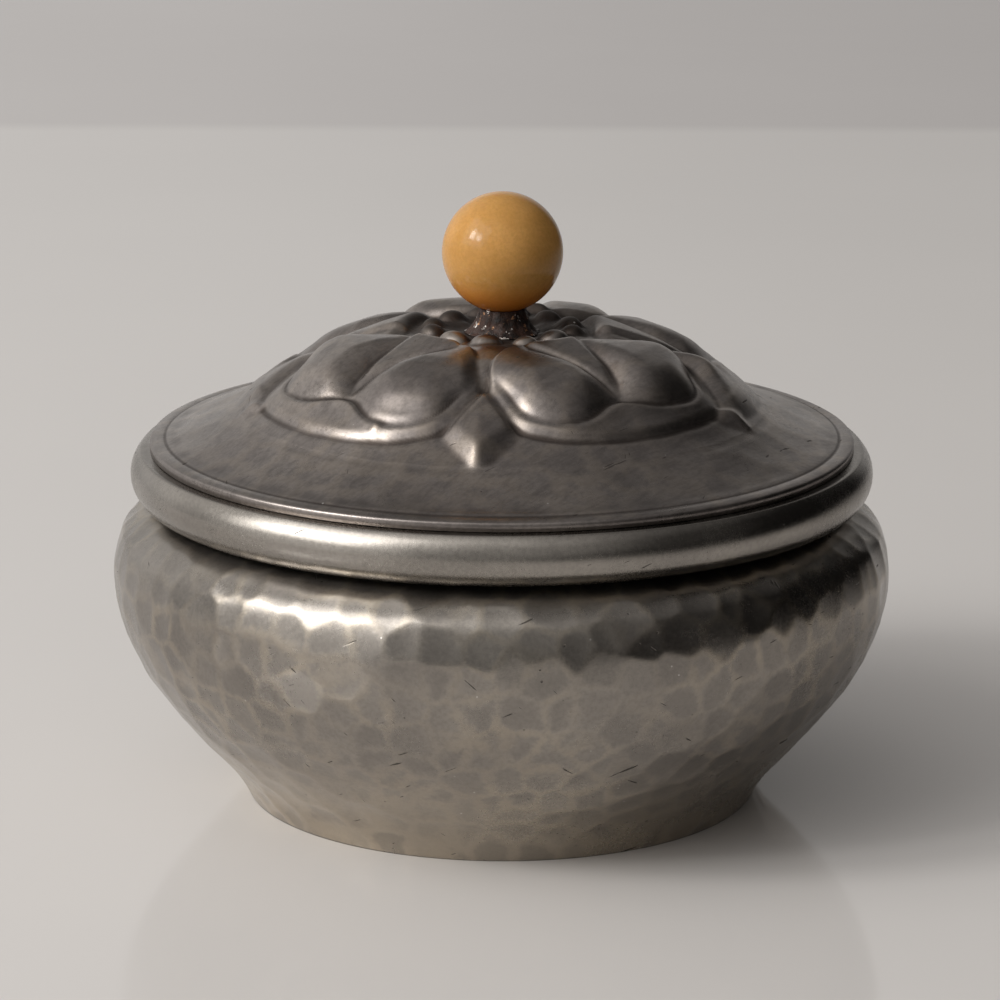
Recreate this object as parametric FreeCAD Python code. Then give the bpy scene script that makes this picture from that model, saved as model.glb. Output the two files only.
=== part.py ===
"""Lidded sugar bowl in hammered pewter with a ball knob.

Millimetres, +Z up, origin on the table under the middle of the foot.
Each function makes one separate piece, and each piece goes to its own STEP file.
"""
import FreeCAD, Part
import math
import os

V = FreeCAD.Vector
ORIGIN = V(0, 0, 0)
X_AXIS = V(1, 0, 0)
Z_AXIS = V(0, 0, 1)

# Bowl
FOOT_R = 41.2              # outer radius of the foot
BELLY_R = 62.5             # widest radius
BELLY_Z = 37.0             # height of the widest line
SHEET = 1.6                # bowl sheet thickness
BASE_RECESS = 0.6          # the base disc sits this far above the table
BASE_THICK = 1.6
SOLDER_GAP = 0.05          # open joint between soldered pieces

# Mouth of the bowl, and the plane that the lid rests on
SEAT_Z = 48.07
MOUTH_R = 50.9             # clear radius of the mouth
MOUTH_RING_R = 52.6        # outer radius of the ring that stiffens the mouth
MOUTH_RING_Z = 45.9        # underside of that ring
SHOULDER_DROP = 0.12       # the shell's edge lies this far under the seat plane

# Lid
LID_R = 56.4               # edge radius of the lid's sheet
LID_EDGE_Z = 58.0          # top of the sheet at its edge
LID_SHEET = 1.4
DOME_RISE = 17.4           # from the edge to the middle
DOME_POWER = 1.5           # how the dome falls away to a flat edge
STUD_HOLE_R = 2.1
LID_TURNS = 180            # control points around the lid's surface
LID_STATIONS = 46          # and from the stud hole out to the edge

# Flower raised in the lid
PETALS = 5
SECTOR = 360.0 / PETALS
SEPAL_TURN = -6.0          # first sepal, in degrees from -Y towards +X
PETAL_R = 39.0             # outer radius of a petal
PETAL_TIP_R = 36.0         # where two petals meet
PETAL_START_R = 15.5
PETAL_RISE = 2.0
EDGE_SOFTNESS = 1.6
LOBE_R = 31.0              # the two swellings on each petal
LOBE_TURN = 18.0
LOBE_RISE = 3.0
LOBE_LENGTH = 8.0
LOBE_WIDTH = 6.2
SEPAL_R = 36.5             # the pointed sepal between two petals
SEPAL_LENGTH = 4.6
SEPAL_WIDTH = 3.4
SEPAL_RISE = 1.5
BEADS = 16                 # stamens around the middle
BEAD_R = 12.8
BEAD_SIZE = 1.9
BEAD_RISE = 1.7
WELL_R = 8.5               # flat hollow under the knob
WELL_Z = 75.0

# Half-round ring under the lid's edge
RING_MID_R = 54.84
RING_MID_Z = 52.81
RING_HALF_W = 4.66
RING_HALF_H = 4.74
RING_SHEET = 1.2
RING_TOP_INNER_R = 53.2
ROOF_STEPS = 8             # points on the roof, which follows the lid's under side

# Band that drops into the mouth
BEZEL_R = 50.5
BEZEL_SHEET = 1.2
BEZEL_BOTTOM_Z = 44.0

# Knob and its fixing, on the lid's axis
BALL_R = 9.66
BALL_Z = 87.9
STUD_R = 2.0
STUD_BOTTOM_Z = 69.0
STUD_TOP_Z = 86.0
STUD_CHAMFER = 0.4
BORE_CLEAR = 0.05          # beside the stud
BORE_END_CLEAR = 0.5       # above the stud in the ball
SEAT_BASE_R = 6.1
SEAT_TOP_R = 4.5
SEAT_TOP_Z = 79.6
WASHER_R = 4.5
WASHER_THICK = 0.8
NUT_FLATS = 7.0
NUT_THICK = 3.2


def line(a, b):
    return Part.LineSegment(V(a[0], a[1], 0), V(b[0], b[1], 0)).toShape()


def spline(points):
    curve = Part.BSplineCurve()
    curve.interpolate([V(r, z, 0) for r, z in points])
    return curve


def ellipse_arc(half_w, half_h, start_z, end_z):
    """Outer side of the ring's ellipse between two heights, in the (r, z) plane."""
    def angle(z):
        return math.asin(max(-1.0, min(1.0, (z - RING_MID_Z) / half_h)))
    steps = 12
    points = []
    for i in range(steps + 1):
        a = angle(start_z) + (angle(end_z) - angle(start_z)) * i / steps
        points.append((RING_MID_R + half_w * math.cos(a), RING_MID_Z + half_h * math.sin(a)))
    return points


def turned(edges):
    """Solid of revolution about +Z from edges drawn in the (r, z) plane."""
    face = Part.Face(Part.Wire(Part.__sortEdges__(edges)))
    face.rotate(ORIGIN, X_AXIS, 90)
    return face.revolve(ORIGIN, Z_AXIS, 360)


def turned_outline(corners):
    closed = corners + [corners[0]]
    return turned([line(a, b) for a, b in zip(closed, closed[1:])])


def bowl_outline():
    """Outside of the bowl from the foot over the belly to the shoulder."""
    return spline([
        (FOOT_R, 0.0),
        (44.4, 5.2),
        (51.3, 12.9),
        (57.9, 21.6),
        (61.5, 29.9),
        (BELLY_R, BELLY_Z),
        (61.3, 42.7),
        (58.8, 45.6),
        (56.0, 47.1),
        (MOUTH_RING_R, SEAT_Z - SHOULDER_DROP),
    ])


def offset_inwards(curve, distance, start, end, count):
    """Points beside a curve, between two fractions of its length of parameter."""
    first, last = curve.FirstParameter, curve.LastParameter
    points = []
    for i in range(count + 1):
        u = first + (last - first) * (start + (end - start) * i / count)
        p = curve.value(u)
        t = curve.tangent(u)[0]
        points.append((p.x - t.y * distance, p.y + t.x * distance))
    return points


def bowl_inside():
    """Inside of the bowl, carried straight on to the table plane and to the mouth ring."""
    wall = offset_inwards(bowl_outline(), SHEET, 0.03, 0.95, 22)
    low, next_up = wall[0], wall[1]
    lean = (next_up[0] - low[0]) / (next_up[1] - low[1])
    foot = (low[0] - lean * low[1], 0.0)
    neck = (MOUTH_RING_R, SEAT_Z - SHOULDER_DROP - SHEET)
    return [foot] + wall + [neck]


def bowl_shell():
    outside = bowl_outline()
    inside = bowl_inside()
    edges = [
        outside.toShape(),
        line((MOUTH_RING_R, SEAT_Z - SHOULDER_DROP), inside[-1]),
        spline(list(reversed(inside))).toShape(),
        line(inside[0], (FOOT_R, 0.0)),
    ]
    return turned(edges)


def base_plate():
    """Flat disc let into the foot and soldered to the wall."""
    inside = spline(bowl_inside())

    def wall_r(z):
        cut = Part.LineSegment(V(0, z, 0), V(2 * FOOT_R, z, 0))
        return inside.intersect(cut)[0].X - SOLDER_GAP
    low, high = BASE_RECESS, BASE_RECESS + BASE_THICK
    return turned_outline([(0, low), (wall_r(low), low), (wall_r(high), high), (0, high)])


def mouth_ring():
    return turned_outline([
        (MOUTH_R, MOUTH_RING_Z),
        (MOUTH_RING_R - SOLDER_GAP, MOUTH_RING_Z),
        (MOUTH_RING_R - SOLDER_GAP, SEAT_Z),
        (MOUTH_R, SEAT_Z),
    ])


def smooth(value, low, high):
    """0 below low, 1 above high, and an S-curve between them."""
    t = max(0.0, min(1.0, (value - low) / (high - low)))
    return t * t * (3 - 2 * t)


def dome(r):
    """Lid's surface without the flower."""
    return LID_EDGE_Z + DOME_RISE * max(0.0, 1 - (r / LID_R) ** 2) ** DOME_POWER


def petal(r, turn):
    """A petal's height where turn is in degrees from the petal's middle line."""
    edge = PETAL_TIP_R + (PETAL_R - PETAL_TIP_R) * math.cos(math.radians(turn * 180 / SECTOR))
    inside = 1 - smooth(r, edge - EDGE_SOFTNESS, edge + EDGE_SOFTNESS)
    height = PETAL_RISE * inside * smooth(r, PETAL_START_R - 2, PETAL_START_R + 8)
    for side in (-1, 1):
        offset = math.radians(turn - side * LOBE_TURN)
        along = (r * math.cos(offset) - LOBE_R) / LOBE_LENGTH
        across = r * math.sin(offset) / LOBE_WIDTH
        height += LOBE_RISE * inside * max(0.0, 1 - along ** 2 - across ** 2) ** 1.5
    return height


def sepal(r, turn):
    """A sepal's height where turn is in degrees from the sepal's middle line."""
    along = abs(r * math.cos(math.radians(turn)) - SEPAL_R) / SEPAL_LENGTH
    across = abs(r * math.sin(math.radians(turn))) / SEPAL_WIDTH
    return SEPAL_RISE * max(0.0, 1 - along - across)


def beads(r, turn):
    pitch = 360.0 / BEADS
    offset = math.radians((turn + pitch / 2) % pitch - pitch / 2)
    distance = math.hypot(r * math.cos(offset) - BEAD_R, r * math.sin(offset)) / BEAD_SIZE
    return BEAD_RISE * max(0.0, 1 - distance ** 2)


def lid_top(r, turn):
    """Height of the lid's upper side, turn in degrees from a sepal's middle line."""
    from_sepal = (turn + SECTOR / 2) % SECTOR - SECTOR / 2
    from_petal = turn % SECTOR - SECTOR / 2
    relief = petal(r, from_petal) + sepal(r, from_sepal) + beads(r, turn)
    in_well = 1 - smooth(r, WELL_R - 2, WELL_R + 2)
    return (dome(r) + relief) * (1 - in_well) + WELL_Z * in_well


def lid_point(r, turn, drop):
    a = math.radians(turn + SEPAL_TURN)
    return V(r * math.sin(a), -r * math.cos(a), lid_top(r, turn) - drop)


def lid_face(drop):
    """Upper side of the lid's sheet, or its under side where drop is the thickness."""
    turns = [360.0 * i / LID_TURNS for i in range(LID_TURNS)]
    step = (LID_R - STUD_HOLE_R) / LID_STATIONS
    radii = [STUD_HOLE_R + step * i for i in range(LID_STATIONS + 1)]
    poles = [[lid_point(r, turn, drop) for r in radii] for turn in turns]
    around = [float(i) for i in range(LID_TURNS + 1)]
    outwards = [float(i) for i in range(LID_STATIONS - 1)]
    clamped = [4] + [1] * (LID_STATIONS - 3) + [4]
    surface = Part.BSplineSurface()
    surface.buildFromPolesMultsKnots(
        poles, [1] * len(around), clamped, around, outwards, True, False, 3, 3)
    return surface


def lid_shell():
    """Domed sheet with the flower raised in it, and a hole for the knob's stud."""
    top = lid_face(0.0)
    under = lid_face(LID_SHEET)
    faces = [top.toShape(), under.toShape()]
    inner_edge, outer_edge = top.bounds()[2:]
    for edge in (inner_edge, outer_edge):
        faces.append(Part.makeRuledSurface(top.vIso(edge).toShape(), under.vIso(edge).toShape()))
    shell = Part.makeShell(faces)
    shell.sewShape()
    return Part.Solid(shell)


def lid_under(r):
    return dome(r) - LID_SHEET


def lid_rim_ring():
    """Hollow half-round moulding, with one leg under the lid and one on the seat."""
    top_z = lid_under(LID_R) - SOLDER_GAP
    bottom_z = RING_MID_Z - RING_HALF_H
    inner_h = RING_HALF_H - RING_SHEET
    inner_w = RING_HALF_W - RING_SHEET
    outer = ellipse_arc(RING_HALF_W, RING_HALF_H, top_z, bottom_z)
    inner = ellipse_arc(inner_w, inner_h, top_z - RING_SHEET, RING_MID_Z - inner_h)
    leg_r = BEZEL_R + SOLDER_GAP
    floor = [
        outer[-1],
        (leg_r, bottom_z),
        (leg_r, bottom_z + RING_SHEET),
        inner[-1],
    ]
    step = (LID_R - RING_TOP_INNER_R) / ROOF_STEPS
    roof_radii = [RING_TOP_INNER_R + step * i for i in range(ROOF_STEPS + 1)]
    roof = [(r, lid_under(r) - SOLDER_GAP) for r in roof_radii]
    roof_start = (RING_TOP_INNER_R, roof[0][1] - RING_SHEET)
    edges = [line(a, b) for a, b in zip(floor, floor[1:])]
    edges += [line(inner[0], roof_start), line(roof_start, roof[0]), line(roof[-1], outer[0])]
    edges += [spline(curve).toShape() for curve in (roof, outer, inner)]
    return turned(edges)


def lid_bezel():
    inner_r = BEZEL_R - BEZEL_SHEET
    return turned_outline([
        (inner_r, BEZEL_BOTTOM_Z),
        (BEZEL_R, BEZEL_BOTTOM_Z),
        (BEZEL_R, lid_under(BEZEL_R) - SOLDER_GAP),
        (inner_r, lid_under(inner_r) - SOLDER_GAP),
    ])


def knob_ball():
    """Ball with a flat-ended bore for the stud."""
    ball = Part.makeSphere(BALL_R, V(0, 0, BALL_Z))
    bore = Part.makeCylinder(STUD_R + BORE_CLEAR, STUD_TOP_Z + BORE_END_CLEAR, ORIGIN)
    return ball.cut(bore)


def knob_seat():
    """Low mound of solder and cement that the ball beds into."""
    cone = Part.makeCone(SEAT_BASE_R, SEAT_TOP_R, SEAT_TOP_Z - WELL_Z, V(0, 0, WELL_Z))
    bore = Part.makeCylinder(STUD_R + BORE_CLEAR, SEAT_TOP_Z, ORIGIN)
    ball = Part.makeSphere(BALL_R + SOLDER_GAP, V(0, 0, BALL_Z))
    return cone.cut(bore).cut(ball)


def knob_stud():
    height = STUD_TOP_Z - STUD_BOTTOM_Z
    stud = Part.makeCylinder(STUD_R, height, V(0, 0, STUD_BOTTOM_Z))
    ends = [e for e in stud.Edges if isinstance(e.Curve, Part.Circle)]
    return stud.makeChamfer(STUD_CHAMFER, ends)


def knob_washer():
    bottom_z = WELL_Z - LID_SHEET - WASHER_THICK
    disc = Part.makeCylinder(WASHER_R, WASHER_THICK, V(0, 0, bottom_z))
    return disc.cut(Part.makeCylinder(STUD_HOLE_R, WELL_Z, ORIGIN))


def knob_nut():
    bottom_z = WELL_Z - LID_SHEET - WASHER_THICK - NUT_THICK
    corner_r = NUT_FLATS / 2 / math.cos(math.radians(30))
    corners = []
    for k in range(7):
        a = math.radians(60 * k)
        corners.append(V(corner_r * math.cos(a), corner_r * math.sin(a), bottom_z))
    blank = Part.Face(Part.makePolygon(corners)).extrude(V(0, 0, NUT_THICK))
    return blank.cut(Part.makeCylinder(STUD_R + BORE_CLEAR, WELL_Z, ORIGIN))


PIECES = [
    bowl_shell,
    base_plate,
    mouth_ring,
    lid_shell,
    lid_rim_ring,
    lid_bezel,
    knob_ball,
    knob_seat,
    knob_stud,
    knob_washer,
    knob_nut,
]

os.makedirs("parts", exist_ok=True)
for make in PIECES:
    shape = make()
    print(make.__name__, shape.isValid(), shape.ShapeType, len(shape.Solids), round(shape.Volume, 1))
    shape.exportStep("parts/" + make.__name__ + ".step")
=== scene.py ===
import math

import bmesh
import bpy
import numpy as np
from mathutils import Matrix, Vector


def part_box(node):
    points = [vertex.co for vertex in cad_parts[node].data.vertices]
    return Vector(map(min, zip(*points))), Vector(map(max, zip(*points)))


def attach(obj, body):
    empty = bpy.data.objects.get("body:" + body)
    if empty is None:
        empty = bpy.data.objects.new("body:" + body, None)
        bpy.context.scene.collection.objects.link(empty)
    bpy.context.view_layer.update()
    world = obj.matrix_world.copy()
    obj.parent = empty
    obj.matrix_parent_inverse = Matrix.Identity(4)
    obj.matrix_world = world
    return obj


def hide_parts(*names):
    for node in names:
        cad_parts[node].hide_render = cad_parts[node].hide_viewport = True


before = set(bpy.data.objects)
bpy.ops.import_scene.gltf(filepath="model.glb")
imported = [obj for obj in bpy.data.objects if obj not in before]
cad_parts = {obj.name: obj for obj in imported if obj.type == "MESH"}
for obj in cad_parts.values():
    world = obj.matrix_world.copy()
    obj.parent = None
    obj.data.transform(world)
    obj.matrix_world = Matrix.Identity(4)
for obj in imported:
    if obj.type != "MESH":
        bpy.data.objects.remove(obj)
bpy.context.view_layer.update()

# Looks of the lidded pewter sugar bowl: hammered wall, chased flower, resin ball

MM = 0.001
BOX_MARGIN = 0.03          # the bowl's skin stays this far inside the frame's box


def high(node):
    """Highest corner of a CAD node, in millimetres."""
    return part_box(node)[1] / MM


def low(node):
    """Lowest corner of a CAD node, in millimetres."""
    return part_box(node)[0] / MM


# Sizes taken from the frame, in millimetres
BELLY_R = high("bowl_shell").x - BOX_MARGIN
SEAT_Z = high("mouth_ring").z
MOUTH_RING_R = high("mouth_ring").x
MOUTH_RING_Z = low("mouth_ring").z
BASE_R = high("base_plate").x
BASE_LOW_Z = low("base_plate").z
BASE_HIGH_Z = high("base_plate").z
LID_R = high("lid_shell").x
RING_LOW_Z = low("lid_rim_ring").z
BEZEL_R = high("lid_bezel").x
BEZEL_LOW_Z = low("lid_bezel").z
BALL_R = high("knob_ball").x
BALL_Z = high("knob_ball").z - BALL_R
WELL_Z = low("knob_seat").z
SEAT_TOP_Z = high("knob_seat").z
SEAT_BASE_R = high("knob_seat").x
STUD_R = high("knob_stud").x
STUD_HIGH_Z = high("knob_stud").z

# Sheet and trim sizes that the frame's boxes don't give
BOWL_SHEET = 1.6
LID_SHEET = 1.4
FOOT_R = 41.2
BELLY_Z = 37.0
SHOULDER_DROP = 0.12
MOUTH_R = 50.9
BEZEL_SHEET = 1.2
RING_SHEET = 1.2
LID_EDGE_Z = 58.0
DOME_RISE = 17.4
DOME_POWER = 1.5
SOLDER_GAP = 0.05
BORE_CLEAR, BORE_END_CLEAR = 0.05, 0.5
# half-round moulding: middle of its section, and half its width and height
RING_MID_R, RING_MID_Z = 54.84, 52.81
RING_HALF_W, RING_HALF_H = 4.66, 4.74
# the bowl's hammer blows: distance between courses, and between blows in a course
COURSE_STEP, BLOW_STEP = 5.2, 6.0
# the wider, fainter planishing blows on the lid
LID_COURSE_STEP, LID_BLOW_STEP = 6.2, 7.0
BLOW_REACH = 15.5          # no blow is felt further away than this
POINTS_AT_ONCE = 4000

rng = np.random.default_rng(20)


# ---------------------------------------------------------------- curves

def spline(points, count, closed=False):
    """Points evenly spaced along a smooth curve through the given ones."""
    p = np.array(points, float)
    if closed:
        p = np.vstack([p[-1:], p, p[:2]])
    else:
        p = np.vstack([2 * p[0] - p[1], p, 2 * p[-1] - p[-2]])
    t = np.linspace(0, 1, 24, endpoint=False)[:, None]
    dense = []
    for a, b, c, d in zip(p, p[1:], p[2:], p[3:]):
        dense.append(0.5 * (2 * b + (c - a) * t + (2 * a - 5 * b + 4 * c - d) * t ** 2
                            + (3 * b - a - 3 * c + d) * t ** 3))
    dense = np.vstack(dense + [p[-2:-1]])
    run = np.r_[0, np.cumsum(np.hypot(*np.diff(dense, axis=0).T))]
    at = np.linspace(0, run[-1], count, endpoint=not closed)
    return np.column_stack([np.interp(at, run, dense[:, k]) for k in range(2)])


def smooth(x, start, end):
    """0 before start, 1 after end, and an S-curve between them."""
    t = np.clip((x - start) / (end - start), 0, 1)
    return t * t * (3 - 2 * t)


def bump(x, centre, half_width):
    """1 at the centre, falling smoothly to 0 at the half width."""
    return np.clip(1 - ((x - centre) / half_width) ** 2, 0, None) ** 2


def signed_distance(x, y, outline):
    """Distance to a closed outline, positive inside it."""
    nearest = np.full(x.shape, 1e9)
    inside = np.zeros(x.shape, bool)
    for (x0, y0), (x1, y1) in zip(outline, np.roll(outline, -1, axis=0)):
        ex, ey = x1 - x0, y1 - y0
        t = np.clip(((x - x0) * ex + (y - y0) * ey) / (ex * ex + ey * ey), 0, 1)
        nearest = np.minimum(nearest, (x - x0 - t * ex) ** 2 + (y - y0 - t * ey) ** 2)
        crosses = (y0 > y) != (y1 > y)
        if ey:
            inside ^= crosses & (x < x0 + (y - y0) * ex / ey)
    return np.where(inside, 1, -1) * np.sqrt(nearest)


# ---------------------------------------------------------------- meshes

def mesh_from_grid(name, grid, material, body, replaced, tints=None):
    """Closed skin over a grid of points: the first axis runs along the section, the second round it.

    The section is closed on itself, so the skin is a ring; a section that starts and ends on the
    axis gives a solid of revolution. tints are named per-point values for the material.
    """
    rows, around = grid.shape[:2]
    mesh = bpy.data.meshes.new(name)
    i, j = np.meshgrid(np.arange(rows), np.arange(around), indexing="ij")
    a = i * around + j
    b = i * around + (j + 1) % around
    c = ((i + 1) % rows) * around + (j + 1) % around
    d = ((i + 1) % rows) * around + j
    quads = np.stack([a, b, c, d], -1).reshape(-1, 4)
    mesh.vertices.add(rows * around)
    mesh.vertices.foreach_set("co", (grid * MM).astype(np.float32).ravel())
    mesh.loops.add(quads.size)
    mesh.loops.foreach_set("vertex_index", quads.astype(np.int32).ravel())
    mesh.polygons.add(len(quads))
    mesh.polygons.foreach_set("loop_start", np.arange(0, quads.size, 4, dtype=np.int32))
    mesh.polygons.foreach_set("use_smooth", np.ones(len(quads), bool))
    mesh.update(calc_edges=True)
    for key, values in (tints or {}).items():
        attribute = mesh.attributes.new(key, "FLOAT", "POINT")
        attribute.data.foreach_set("value", np.ascontiguousarray(values, np.float32).ravel())
    return finish_mesh(name, mesh, material, body, replaced)


def finish_mesh(name, mesh, material, body, replaced):
    """Welds doubled points, faces the skin outwards and hands the piece to its body."""
    bm = bmesh.new()
    bm.from_mesh(mesh)
    bmesh.ops.remove_doubles(bm, verts=bm.verts, dist=2e-6)
    bmesh.ops.recalc_face_normals(bm, faces=bm.faces)
    bm.to_mesh(mesh)
    bm.free()
    mesh.materials.append(material)
    piece = bpy.data.objects.new(name, mesh)
    bpy.context.scene.collection.objects.link(piece)
    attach(piece, body)
    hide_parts(replaced)
    return piece


def turn_section(section, around):
    """Grid of a section's (r, z) points turned about +Z; the first column faces -Y."""
    angle = np.linspace(0, 2 * np.pi, around, endpoint=False)
    r, z = section[:, :1], section[:, 1:2]
    return np.stack([r * np.sin(angle), -r * np.cos(angle), z + 0 * angle], -1)


def polyline(corners, step, round_r=0.0):
    """Section through corners with rounded corners and points no further apart than a step."""
    corners = [np.array(c, float) for c in corners]
    out = []
    for k, c in enumerate(corners):
        before, after = corners[k - 1], corners[(k + 1) % len(corners)]
        u, v = before - c, after - c
        lu, lv = np.hypot(*u), np.hypot(*v)
        cut = min(round_r, 0.45 * lu, 0.45 * lv)
        if cut > 0 and c[0] > 1e-6:
            p, q = c + u / lu * cut, c + v / lv * cut
            for t in np.linspace(0, 1, 5):
                out.append((1 - t) ** 2 * p + 2 * t * (1 - t) * c + t * t * q)
        else:
            out.append(c)
    filled = []
    for p, q in zip(out, out[1:] + out[:1]):
        n = max(1, int(np.hypot(*(q - p)) / step))
        for t in np.arange(n) / n:
            filled.append(p + (q - p) * t)
    return np.array(filled)


# ---------------------------------------------------------------- hammering

def hammer_seeds(rows, spacing):
    """Centres of hammer blows, struck in courses: rows are (r, z) points down the wall."""
    seeds = []
    for r, z, dr, dz in rows:
        count = max(6, int(2 * np.pi * r / spacing))
        turn = rng.uniform(0, 2 * np.pi)
        for k in range(count):
            a = turn + 2 * np.pi * (k + rng.uniform(-0.28, 0.28)) / count
            slip = rng.uniform(-0.30, 0.30) * spacing
            rr, zz = r + dr * slip, z + dz * slip
            seeds.append((rr * math.sin(a), -rr * math.cos(a), zz))
    return np.array(seeds)


def hammered(points, seeds, hollow, soft, tilt):
    """Depth of the hammer facets at each point, its distance in from the facet's edge, and the
    facet's own shade.

    hollow is how fast a facet deepens away from its middle, soft how rounded the ridges between
    facets are, and tilt how far facets lean off the wall.
    """
    flat = points.reshape(-1, 3)
    n = len(seeds)
    curve = hollow * rng.uniform(0.75, 1.3, n)
    level = rng.uniform(0, 0.035, n) * hollow / 0.009
    lean = rng.normal(0, tilt, (n, 3))
    depth = np.empty(len(flat))
    edge = np.empty(len(flat))
    tone = np.empty(len(flat))
    shade = rng.uniform(0, 1, n)
    for start in range(0, len(flat), POINTS_AT_ONCE):
        part_of = slice(start, start + POINTS_AT_ONCE)
        p = flat[part_of]
        gap = p[:, None, :] - seeds[None]
        d2 = np.einsum("ijk,ijk->ij", gap, gap)
        w = curve * d2 - level + np.einsum("ijk,jk->ij", gap, lean)
        w = np.where(d2 > BLOW_REACH ** 2, 1e3, w)
        two = np.partition(w, 1, axis=1)[:, :2]
        first = w.argmin(1)
        part = np.exp(-(w - two[:, :1]) / soft)
        depth[part_of] = two[:, 0] - soft * np.log(part.sum(1))
        edge[part_of] = two[:, 1] - two[:, 0]
        tone[part_of] = shade[first]
    shape = points.shape[:2]
    return depth.reshape(shape), edge.reshape(shape), tone.reshape(shape)


def normals_of_section(section):
    """Unit normals of an open (r, z) section, to the right of its direction."""
    t = np.gradient(section, axis=0)
    t /= np.hypot(*t.T)[:, None]
    return np.column_stack([t[:, 1], -t[:, 0]])


# ---------------------------------------------------------------- the flower

# outlines of one petal, along its middle line and across it; the cup is the part inside its rim
PETAL_EDGE = [
    (13.2, -7.0), (18.5, -14.2), (23.3, -16.7), (27.7, -17.2), (31.4, -16.0), (34.3, -13.4),
    (36.6, -9.8), (38.2, -4.0), (38.5, 3.6), (37.3, 9.8), (35.0, 15.8), (31.8, 20.2),
    (27.0, 21.9), (20.8, 22.5), (17.3, 20.8), (14.9, 18.0), (14.0, 12.0), (13.0, 3.0),
]
PETAL_CUP = [
    (18.0, -10.3), (22.0, -13.6), (26.0, -15.0), (29.9, -15.0), (32.8, -13.2), (34.7, -10.3),
    (35.3, -6.8), (34.6, -3.8), (33.3, -0.8), (32.9, 1.6), (33.5, 4.4), (34.1, 8.0),
    (33.6, 12.0), (32.0, 15.8), (29.0, 18.4), (25.0, 19.5), (20.0, 19.4), (17.0, 16.5),
    (15.6, 10.0), (14.8, 2.0), (15.2, -5.0),
]
# where the fold between a petal's two halves lies, and half its width, at places along the petal
FOLD_LINE = [(14.0, -0.3), (16.4, 0.1), (20.0, 1.2), (24.0, 2.3), (28.5, 2.5), (33.0, 1.6)]
FOLD_HALF = [(14.0, 5.0), (16.4, 4.7), (20.0, 3.6), (24.0, 2.3), (28.5, 1.1), (32.0, 0.2)]
# outline of the pointed sepal between two petals
SEPAL = [
    (26.0, 0.0), (31.0, -4.2), (35.0, -5.7), (38.6, -3.9), (42.3, -0.8), (42.3, 0.8), (38.6, 3.9),
    (35.0, 5.7), (31.0, 4.2),
]
SEPAL_TURN = -5.5
SECTOR = 72.0
# middle line in degrees from -Y towards +X, which side is the narrow one, how far it reaches,
# how full its narrow and wide halves are, and how crisply it is chased; later petals lie over
# earlier ones
PETALS = [
    {"turn": 100.0, "side": -1, "reach": 1.05, "full": (0.8, 0.8), "cut": 0.35},
    {"turn": -110.0, "side": 1, "reach": 1.08, "full": (0.75, 0.35), "cut": 0.35},
    {"turn": 170.0, "side": 1, "reach": 1.02, "full": (1.0, 1.15), "cut": 0.35},
    {"turn": -44.0, "side": -1, "reach": 1.02, "full": (1.0, 1.0), "cut": 1.0},
    {"turn": 32.0, "side": 1, "reach": 0.985, "full": (1.0, 1.0), "cut": 1.0},
]
# heights over the dome: a petal's outer step, the rim's crest, the edge of the cup, the bottom of the
# creases beside the fold, and the tongue between them
STEP = 1.2
CREST = 2.3
CUP_EDGE = 1.95
CREASE_HEIGHT = 1.75
TONGUE = 2.7
CHASED_LINE = 0.80         # depth of the line chased inside the rim
OUTER_LINE = 0.22          # and of the one outside the petal
FILLET, FILLET_REACH = 0.45, 4.0
# a drop of solder left on the rim of a front petal
DROP_R, DROP_TURN, DROP_HALF, DROP_HIGH = 37.7, -31.0, 0.9, 0.5
BEADS = 12
BEAD_R = 11.2
# (radius, height over the dome) of the raised collar round the middle
COLLAR = [(12.0, 1.1), (15.0, 1.1), (17.0, 1.0), (20.0, 0.7), (23.0, 0.4), (27.0, 0.15), (31.0, 0.0)]
# where the front petals run together: middle in degrees, half width, and height at each radius
WEB_TURN, WEB_HALF = -6.0, 24.0
WEB = [
    (13.0, 0.6), (15.5, 1.5), (18.0, 2.2), (21.0, 2.5), (24.0, 2.0), (27.0, 1.2), (30.0, 0.5), (33.0, 0.0),
]
# (radius, height over the dome) of the tops of a petal's two swellings
SWELLING = [
    (14.0, 1.4), (17.0, 2.3), (20.0, 3.3), (23.0, 4.2), (26.0, 4.75), (30.0, 4.8), (33.0, 4.4), (35.0, 3.7),
]


def dome(r):
    """Lid's surface without the flower."""
    return LID_EDGE_Z + DOME_RISE * np.clip(1 - (r / (LID_R + 0.1)) ** 2, 0, None) ** DOME_POWER


def petal_layout(r, turn, petal):
    """Signed distances to a petal's edge and cup, and place along and across it."""
    offset = np.radians((turn - petal["turn"] + 180) % 360 - 180)
    u = r * np.cos(offset) / petal["reach"]
    w = r * np.sin(offset) * petal["side"] / petal["reach"]
    near = (u > 8) & (u < 44) & (np.abs(w) < 30)
    edge = np.full(r.shape, -20.0)
    cup = np.full(r.shape, -20.0)
    edge[near] = signed_distance(u[near], w[near], spline(PETAL_EDGE, 150, closed=True))
    cup[near] = signed_distance(u[near], w[near], spline(PETAL_CUP, 150, closed=True))
    return edge, cup, u, w


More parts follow.
